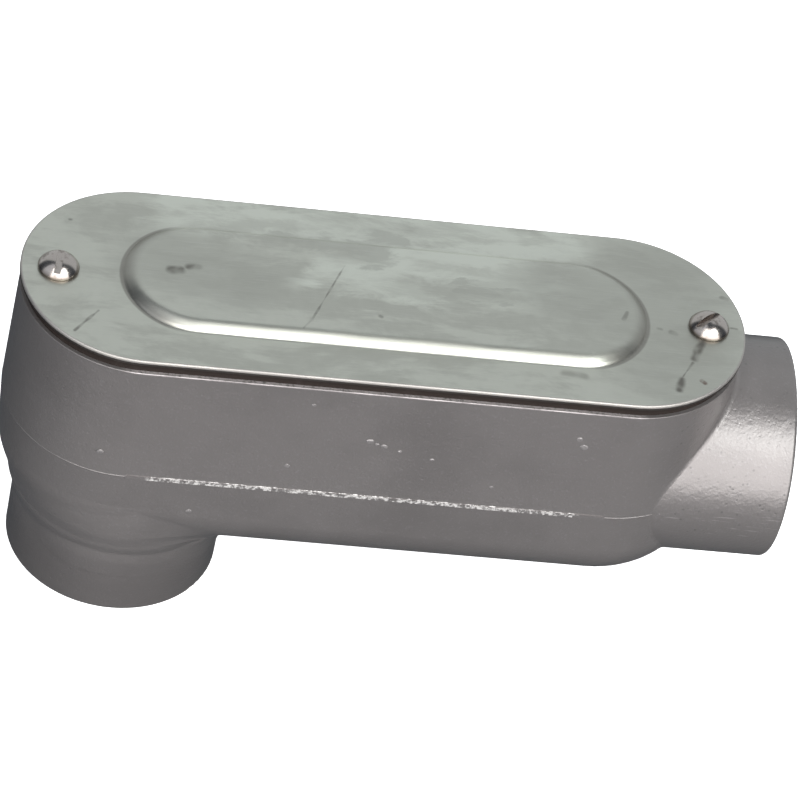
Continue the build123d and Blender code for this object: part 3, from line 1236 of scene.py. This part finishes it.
def smooth(value: np.ndarray, low: float, high: float) -> np.ndarray:
    """Smooth step from 0 at low to 1 at high."""
    share = np.clip((value - low) / (high - low), 0.0, 1.0)
    return share * share * (3.0 - 2.0 * share)


@dataclass
class NeckBlend:
    """Soft hollow where the back hub's collar grows out of the box's rounded corner. Lengths in millimetres."""

    back_arc: float = -3.0
    end_arc: float = 104.8
    body_bottom: float = 21.0
    corner_height: float = 35.5
    corner_half_width: float = 26.9
    corner_radius: float = 14.5
    collar_radius: float = 26.15
    collar_bottom: float = 22.2
    collar_top_radius: float = 26.85
    neck_radius: float = 24.35
    neck_height: float = 15.8
    hub_radius: float = 25.1
    fill_radius: float = 25.35
    belly_radius: float = 26.82
    belly_height: float = 26.0
    reach: float = 8.0
    least_reach: float = 1.0
    fade_from: float = 40.0
    fade_to: float = 28.0
    crease: float = 0.15
    under: float = 0.035
    widest: float = 44.0

    def box_gap(self, x: np.ndarray, y: np.ndarray, z: np.ndarray) -> np.ndarray:
        """Distance outside the box's lower half."""
        off = np.hypot(x - np.clip(x, self.back_arc, self.end_arc), y)
        wall = off - self.corner_half_width - 0.0625 * np.maximum(z - self.corner_height, 0.0)
        low = np.hypot(np.maximum(off - (self.corner_half_width - self.corner_radius), 0.0), z - self.corner_height)
        corner = np.where(
            off > self.corner_half_width - self.corner_radius, low - self.corner_radius, self.body_bottom - z
        )
        return np.where(z > self.corner_height, wall, corner)

    def hub_gap(self, x: np.ndarray, y: np.ndarray, z: np.ndarray) -> np.ndarray:
        """Distance outside the collar, the neck and the hub."""
        side = smooth(np.abs(np.arctan2(y, -x)), 0.45, 1.2)
        belly = np.where(z > self.belly_height, 1.0, np.exp(-(((z - self.belly_height) / 2.6) ** 2))) * side
        rise = np.clip((z - self.collar_bottom) / (self.corner_height - self.collar_bottom), 0.0, 1.0)
        cone = self.collar_radius + rise * (self.collar_top_radius - self.collar_radius)
        cone = cone + (self.belly_radius - cone) * belly
        flare = self.neck_radius + (self.collar_radius - self.neck_radius) * smooth(z, self.neck_height, self.collar_bottom)
        flare = flare + (self.belly_radius - flare) * belly
        hub = self.neck_radius - 0.15 + (self.fill_radius - self.neck_radius + 0.15) * side
        hub = hub - (self.fill_radius - self.hub_radius) * side * smooth(z, 17.0, 12.0)
        neck = (flare + hub + np.sqrt((flare - hub) ** 2 + self.crease**2)) / 2
        upper = np.hypot(x - self.back_arc * rise, y) - cone
        return np.where(z > self.collar_bottom, upper, np.hypot(x, y) - neck)

    def gap(self, x: np.ndarray, y: np.ndarray, z: np.ndarray) -> np.ndarray:
        """Distance outside both, with the hollow between them filled where they meet at an angle."""
        step = 0.05
        box, hub = self.box_gap(x, y, z), self.hub_gap(x, y, z)
        turn = np.zeros_like(x)
        for axis in range(3):
            shift = [step * (axis == k) for k in range(3)]
            ahead = (x + shift[0], y + shift[1], z + shift[2])
            behind = (x - shift[0], y - shift[1], z - shift[2])
            slope_box = (self.box_gap(*ahead) - self.box_gap(*behind)) / (2 * step)
            slope_hub = (self.hub_gap(*ahead) - self.hub_gap(*behind)) / (2 * step)
            turn += slope_box * slope_hub
        fade = smooth(z, self.fade_from, self.fade_to)
        reach = np.maximum(self.reach * np.sqrt(np.clip(1.0 - turn, 0.0, 1.0)), self.least_reach) * fade + 0.01
        share = np.clip(reach - np.abs(box - hub), 0.0, None) / reach
        return np.minimum(box, hub) - share**2 * reach / 4

    def build(self, look: bpy.types.Material) -> bpy.types.Object:
        """Finds the blended surface along lines that fan out round the hub.

        Args:
            look: Paint of the casting.

        Returns:
            The blend, just under the casting's own surface where there is nothing to fill.
        """
        turns = np.radians(np.linspace(0.0, 360.0, 301)[:-1])
        tilts = np.radians(np.linspace(38.0, -64.0, 110))
        turn, tilt = np.meshgrid(turns, tilts, indexing="ij")
        start = np.stack([16 * np.cos(turn), 16 * np.sin(turn), np.full_like(turn, 30.5)])
        way = np.stack([np.cos(turn) * np.cos(tilt), np.sin(turn) * np.cos(tilt), np.sin(tilt)])
        most = np.minimum(75.0, (self.fade_from - 30.5) / np.maximum(np.sin(tilt), 0.01))
        far = most.copy()
        for _ in range(70):
            far -= 0.8 * np.clip(self.gap(*(start + way * far)) + self.under, -0.5, 6.0)
            far = np.minimum(far, most)
        spots = start + way * far
        on_skin = (np.abs(self.gap(*spots) + self.under) < 0.05) & (np.hypot(spots[0], spots[1]) < self.widest)
        kept = on_skin.ravel()
        rows, columns = turn.shape
        faces = []
        for row in range(rows):
            for column in range(columns - 1):
                first, after = row * columns + column, (row + 1) % rows * columns + column
                corners = (first, first + 1, after + 1, after)
                if all(kept[k] for k in corners):
                    faces.append(corners)
        used = sorted({k for face in faces for k in face})
        place = {old: new for new, old in enumerate(used)}
        points = spots.reshape(3, -1).T[used] * MM
        piece = add_mesh("hub_blend", points, [tuple(place[k] for k in face) for face in faces], look)
        shade(piece, Fairness.SMOOTH)
        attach(piece, "box")
        log.info("hub_blend: %d faces", len(piece.data.polygons))
        return piece


# Cover and screws


@dataclass
class StampedCover:
    """Sheet cover with its middle pressed up, a rolled edge and two screw holes."""

    plan: CoverPlan
    bottom: float
    thickness: float = 1.3 * MM
    panel_height: float = 2.0 * MM
    slope: float = 3.6 * MM
    edge: float = 0.38 * MM
    hole_radius: float = 2.8 * MM
    holes: tuple[float, float] = (-22.1 * MM, 123.9 * MM)
    wave: float = 0.035 * MM
    round_steps: int = 56
    straight_steps: int = 46

    def _stations(self) -> list[tuple[float, float, float]]:
        """Places round the outline, as share along the middle line and outward direction."""
        stations = []
        for side in (1.0, -1.0):
            for k in range(self.round_steps):
                turn = math.pi * (k / self.round_steps) - math.pi / 2
                stations.append((side, side * math.cos(turn), side * math.sin(turn)))
            for k in range(self.straight_steps):
                stations.append((side * (1 - 2 * k / self.straight_steps), 0.0, side))
        return stations

    def _rise(self, inside: float) -> float:
        """Height of the pressed middle at a distance inside its foot."""
        share = min(1.0, max(0.0, inside / self.slope))
        soft = share * share * (3 - 2 * share)
        return self.panel_height * (0.55 * soft + 0.45 * (1 - (1 - share) ** 2.2) * min(1.0, share * 4))

    def _rings(self) -> list[tuple[float, float, float]]:
        """Half straight length, distance out and height of each ring, from the edge to the middle."""
        plan = self.plan
        rings = []
        for k in range(5):
            turn = math.pi / 2 * k / 4
            out = plan.half_width - self.edge * (1 - math.cos(turn))
            rings.append((plan.half_straight, out, -self.edge * (1 - math.sin(turn))))
        for k in range(1, 15):
            share = k / 14
            out = plan.half_width - self.edge
            rings.append(
                (
                    plan.half_straight + share * (plan.panel_half_straight - plan.half_straight),
                    out + share * (plan.panel_half_width - out),
                    0.0,
                )
            )
        for k in range(1, 19):
            inside = self.slope * k / 18
            rings.append((plan.panel_half_straight, plan.panel_half_width - inside, self._rise(inside)))
        last = plan.panel_half_width - self.slope
        for k in range(1, 11):
            rings.append((plan.panel_half_straight, last * (1 - k / 10), self.panel_height))
        return rings

    def _wave(self, x: float, y: float) -> float:
        """Gentle unevenness of the pressed sheet."""
        u, v = x / MM, y / MM
        return self.wave * (
            math.sin(u * 0.11 + 1.3) * math.sin(v * 0.19 + 0.4)
            + 0.6 * math.sin(u * 0.23 + v * 0.17 + 2.0)
            + 0.4 * math.sin(u * 0.31 - v * 0.27)
        )

    def build(self, look: bpy.types.Material) -> bpy.types.Object:
        """Builds the sheet, cuts its holes and puts it in the place of the plain cover.

        Args:
            look: Bare steel.

        Returns:
            The cover.
        """
        stations, rings = self._stations(), self._rings()
        top = self.bottom + self.thickness
        points: list[Point] = []
        for under in (False, True):
            for half_straight, out, rise in rings:
                for along, nx, ny in stations:
                    x = self.plan.middle + along * half_straight + nx * out
                    y = ny * out
                    inside = max(0.0, min(1.0, (self.plan.half_width - out) / (6 * MM)))
                    level = top + rise + self._wave(x, y) * inside * (0.0 if rise <= 0 and under else 1.0)
                    if under:
                        level = top + max(rise, 0.0) - self.thickness
                        level += self._wave(x, y) * (1.0 if rise > 0 else 0.0) * inside
                    points.append((x, y, level))
        count, depth = len(stations), len(rings)
        faces: list[tuple[int, ...]] = []
        for layer in range(2):
            base = layer * count * depth
            for ring in range(depth - 1):
                for k in range(count):
                    n = (k + 1) % count
                    low, high = base + ring * count, base + (ring + 1) * count
                    faces.append((low + k, low + n, high + n, high + k))
        for k in range(count):
            n = (k + 1) % count
            under = count * depth
            faces.append((k, n, under + n, under + k))
        piece = add_mesh("stamped_cover", np.array(points), faces, look)
        self._weld_middle(piece)
        self._cut_holes(piece)
        shade(piece, Fairness.BY_ANGLE, 40.0)
        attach(piece, "cover")
        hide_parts("cover_plate")
        log.info("stamped_cover: %d faces", len(piece.data.polygons))
        return piece

    def _weld_middle(self, piece: bpy.types.Object) -> None:
        """Drops the faces that shrank to nothing on the middle line."""
        work = bmesh.new()
        work.from_mesh(piece.data)
        bmesh.ops.dissolve_degenerate(work, edges=work.edges, dist=0.001 * MM)
        bmesh.ops.recalc_face_normals(work, faces=work.faces)
        work.to_mesh(piece.data)
        work.free()

    def _cut_holes(self, piece: bpy.types.Object) -> None:
        """Punches the two screw holes."""
        points, faces = turned([(0.0, -4 * MM), (self.hole_radius, -4 * MM), (self.hole_radius, 4 * MM), (0.0, 4 * MM)], 48)
        both = [points + np.array([x, 0.0, self.bottom]) for x in self.holes]
        shifted = [tuple(k + len(points) for k in face) for face in faces]
        punch = add_mesh("punch", np.concatenate(both), faces + shifted, piece.data.materials[0])
        cut(piece, punch)


def cut(piece: bpy.types.Object, tool: bpy.types.Object) -> None:
    """Takes one solid away from another and removes the tool."""
    modifier = piece.modifiers.new("cut", "BOOLEAN")
    modifier.operation = "DIFFERENCE"
    modifier.solver = "EXACT"
    modifier.object = tool
    baked(piece)
    bpy.data.objects.remove(tool)


@dataclass
class CoverScrew:
    """Round-headed slotted screw, threaded below its head."""

    node: str
    body: str
    slot_angle: float
    seat: float
    head_radius: float = 4.6 * MM
    head_height: float = 3.4 * MM
    head_rim: float = 0.6 * MM
    slot_width: float = 1.5 * MM
    slot_depth: float = 1.8 * MM
    core_radius: float = 1.93 * MM
    thread_radius: float = 2.34 * MM
    length: float = 13.0 * MM
    pitch: float = 1.058 * MM

    def _profile(self) -> list[tuple[float, float]]:
        """Radius and height from the tip to the top of the head."""
        sagitta = self.head_height - self.head_rim
        sphere = (self.head_radius**2 + sagitta**2) / (2 * sagitta)
        profile = [(0.0, -self.length), (0.62 * self.core_radius, -self.length)]
        profile += [(self.core_radius, -self.length + 0.7 * MM), (self.core_radius, -1.2 * MM)]
        profile += [(self.thread_radius, -0.7 * MM), (self.thread_radius, 0.0), (self.head_radius - 0.18 * MM, 0.0)]
        profile += [(self.head_radius - 0.03 * MM, 0.1 * MM), (self.head_radius, 0.24 * MM)]
        start = math.asin(self.head_radius / sphere)
        for k in range(19):
            turn = start * (1 - k / 18)
            profile.append((sphere * math.sin(turn), self.head_height - sphere + sphere * math.cos(turn)))
        return profile

    def build(self, grower: HelixRidge, look: bpy.types.Material) -> bpy.types.Object:
        """Turns the screw, cuts its slot, winds its thread and puts it in place.

        Args:
            grower: The group that makes ridges.
            look: Plated steel.

        Returns:
            The screw.
        """
        low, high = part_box(self.node)
        centre = Vector(((low.x + high.x) / 2, (low.y + high.y) / 2, self.seat))
        points, faces = turned(self._profile(), 72)
        piece = add_mesh(self.node + "_turned", points, faces, look)
        self._cut_slot(piece)
        piece.data.transform(Matrix.Translation(centre))
        shade(piece, Fairness.BY_ANGLE, 32.0)
        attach(piece, self.body)
        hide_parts(self.node)
        self._wind(grower, look, centre)
        log.info("%s: %d faces", piece.name, len(piece.data.polygons))
        return piece

    def _cut_slot(self, piece: bpy.types.Object) -> None:
        """Saws the slot across the head and breaks its edges."""
        half, reach = self.slot_width / 2, 2 * self.head_radius
        low, high = self.head_height - self.slot_depth, 2 * self.head_height
        corners = [(x, y, z) for z in (low, high) for x, y in ((-reach, -half), (reach, -half), (reach, half), (-reach, half))]
        sides = [(0, 1, 2, 3), (4, 5, 6, 7), (0, 1, 5, 4), (1, 2, 6, 5), (2, 3, 7, 6), (3, 0, 4, 7)]
        saw = add_mesh("saw", np.array(corners), sides, piece.data.materials[0])
        saw.data.transform(Matrix.Rotation(math.radians(self.slot_angle), 4, "Z"))
        cut(piece, saw)
        soften = piece.modifiers.new("soften", "BEVEL")
        soften.width = 0.11 * MM
        soften.segments = 2
        soften.limit_method = "ANGLE"
        soften.angle_limit = math.radians(38)
        baked(piece)

    def _wind(self, grower: HelixRidge, look: bpy.types.Material, centre: Vector) -> None:
        """Winds the thread round the shank."""
        run = self.length - 2.6 * MM
        sizes = {
            "Radius": self.core_radius,
            "Pitch": self.pitch,
            "Turns": run / self.pitch,
            "Depth": self.thread_radius - self.core_radius,
            "Inward": -1.0,
        }
        place = Matrix.Translation(centre + Vector((0.0, 0.0, -self.length + 0.9 * MM)))
        thread = grower.grow(self.node + "_thread", look, sizes, place)
        shade(thread, Fairness.BY_ANGLE, 35.0)
        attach(thread, self.body)


# Camera and studio


@dataclass
class View:
    """The camera that took the picture."""

    aim: Point = (50.9 * MM, 0.0, 81.05 * MM)
    unit: float = 27.5 * MM
    azimuth: float = -12.31
    elevation: float = 42.82
    roll: float = 13.57
    across: float = -0.1044
    up: float = 0.8215
    distance: float = 39.6575
    focal: float = 222.0

    def build(self) -> bpy.types.Object:
        """Places the camera.

        Returns:
            The camera.
        """
        azimuth, elevation, roll = (math.radians(a) for a in (self.azimuth, self.elevation, self.roll))
        back = Vector(
            (
                math.sin(azimuth) * math.cos(elevation),
                -math.cos(azimuth) * math.cos(elevation),
                math.sin(elevation),
            )
        )
        level = Vector((math.cos(azimuth), math.sin(azimuth), 0.0))
        rise = back.cross(level)
        right = math.cos(roll) * level + math.sin(roll) * rise
        top = -math.sin(roll) * level + math.cos(roll) * rise
        spot = Vector(self.aim) + self.unit * (self.distance * back - self.across * right - self.up * top)
        data = bpy.data.cameras.new("camera")
        data.lens = self.focal
        data.sensor_width = 36.0
        data.clip_start = 0.05
        data.clip_end = 50.0
        camera = bpy.data.objects.new("camera", data)
        bpy.context.scene.collection.objects.link(camera)
        turn = Matrix((right, top, back)).transposed().to_4x4()
        camera.matrix_world = Matrix.Translation(spot) @ turn
        bpy.context.scene.camera = camera
        log.info("camera at %s", [round(c, 4) for c in spot])
        return camera


@dataclass(frozen=True)
class Softbox:
    """A soft-edged patch of light, in degrees from the camera's own azimuth and from the horizon."""

    left: float
    right: float
    low: float
    high: float
    soft: float
    radiance: float
    colour: Colour = (1.0, 1.0, 1.0)

    def light(self, sky: SkyShader, bearing: Term, climb: Term) -> Term:
        """How strongly it shines from each direction.

        Args:
            sky: The world's shader, not used.
            bearing: Angle round from the camera's azimuth.
            climb: Angle above the horizon.

        Returns:
            The strength.
        """
        return bearing.within(self.left, self.right, self.soft) * climb.within(self.low, self.high, self.soft) * self.radiance


@dataclass
class Studio:
    """White floor, one large frontal softbox with its hot side to the right, and dim cards."""

    azimuth: float = -12.31
    floor_half: float = 4.0
    floor_height: float = 0.0
    ambient: Colour = (0.064, 0.075, 0.088)
    boxes: tuple[Softbox, ...] = (
        Softbox(-24.0, 62.0, -7.0, 58.0, 8.0, 3.3, (1.0, 0.99, 0.975)),
        Softbox(32.0, 64.0, 37.0, 51.0, 8.0, 4.4, (0.92, 1.0, 0.97)),
        Softbox(-74.0, -32.0, -8.0, 74.0, 8.0, 0.62, (0.95, 0.99, 1.04)),
        Softbox(118.0, 200.0, -8.0, 72.0, 8.0, 0.55, (0.96, 1.0, 1.0)),
        Softbox(-200.0, -118.0, -8.0, 72.0, 8.0, 0.55, (0.96, 1.0, 1.0)),
    )

    def build(self) -> None:
        """Builds the floor and the light, and sets how the picture is developed."""
        self._floor()
        self._sky()
        scene = bpy.context.scene
        scene.view_settings.view_transform = "Standard"
        scene.view_settings.look = "None"
        scene.view_settings.exposure = 0.0
        log.info("studio lit by %d soft patches", len(self.boxes))

    def _floor(self) -> None:
        """Wide white sweep under the object, which throws no light back on it."""
        s = Shader("studio_floor")
        s.finish_with((0.95, 0.95, 0.95), 0.0, 0.9)
        s.surface.inputs["Emission Color"].default_value = (1.0, 1.0, 1.0, 1.0)
        s.surface.inputs["Emission Strength"].default_value = 0.9
        side = self.floor_half
        corners = np.array([(-side, -side, 0), (side, -side, 0), (side, side, 0), (-side, side, 0)], float)
        corners[:, 2] = self.floor_height
        floor = add_mesh("studio_floor", corners, [(0, 1, 2, 3)], s.material)
        floor.visible_diffuse = False
        floor.visible_glossy = False
        floor.visible_shadow = False

    def _sky(self) -> None:
        """Adds up the patches over an even dim light."""
        sky = SkyShader("studio_light")
        bearing, climb = sky.bearing(self.azimuth), sky.climb()
        total = list(self.ambient)
        channels: list[Term | float] = total
        for box in self.boxes:
            share = box.light(sky, bearing, climb)
            channels = [share * tone + channel for tone, channel in zip(box.colour, channels)]
        joined = sky.node("ShaderNodeCombineXYZ")
        for socket, channel in zip(joined.inputs, channels):
            sky.feed(socket, channel)
        sky.tree.links.new(joined.outputs[0], sky.surface.inputs["Color"])
        bpy.context.scene.world = sky.world


# Assembly


def main() -> None:
    """Builds and dresses the whole object in order."""
    logging.basicConfig(level=logging.INFO, format="%(name)s: %(message)s")
    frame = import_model()
    nodes = frame["nodes"]
    low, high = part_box("cover_plate")
    cast_low, cast_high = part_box("body_casting")
    half_width = (high.y - low.y) / 2
    plan = CoverPlan((low.x + high.x) / 2, half_width, (high.x - low.x) / 2 - half_width, low.z)

    View().build()
    Studio().build()

    casting = Casting(nodes["body_casting"], cast_high.x)
    paint = CastPaint().material()
    casting.dress(paint)
    casting.build_threads(FiledMetal(roughness=0.34).material("cut_thread"))
    beads = RoughBead(paint)
    casting.build_parting(beads, paint)
    casting.build_rim_edge(RoughBead(EdgePaint().material()), EdgePaint().material())
    filed = FiledMetal((0.60, 0.58, 0.57), (0.27, 0.25, 0.25), 0.35, 0.4).material("filed_flash")
    casting.build_flash(RoughBead(filed), filed)
    casting.build_nibs(NibPaint().material())
    NeckBlend().build(paint)

    gasket = nodes["cover_gasket"]
    gasket.data.materials.clear()
    gasket.data.materials.append(GasketRubber().material())

    StampedCover(plan, low.z).build(CoverSteel().material(plan))
    seat = low.z + StampedCover.thickness
    plated = PlatedSteel().material(seat)
    winder = HelixRidge(plated)
    CoverScrew("cover_screw_back_hub_end", "back_end_screw", 82.0, seat).build(winder, plated)
    CoverScrew("cover_screw_end_hub_end", "hub_end_screw", 38.0, seat).build(winder, plated)


if __name__ == "__main__":
    main()
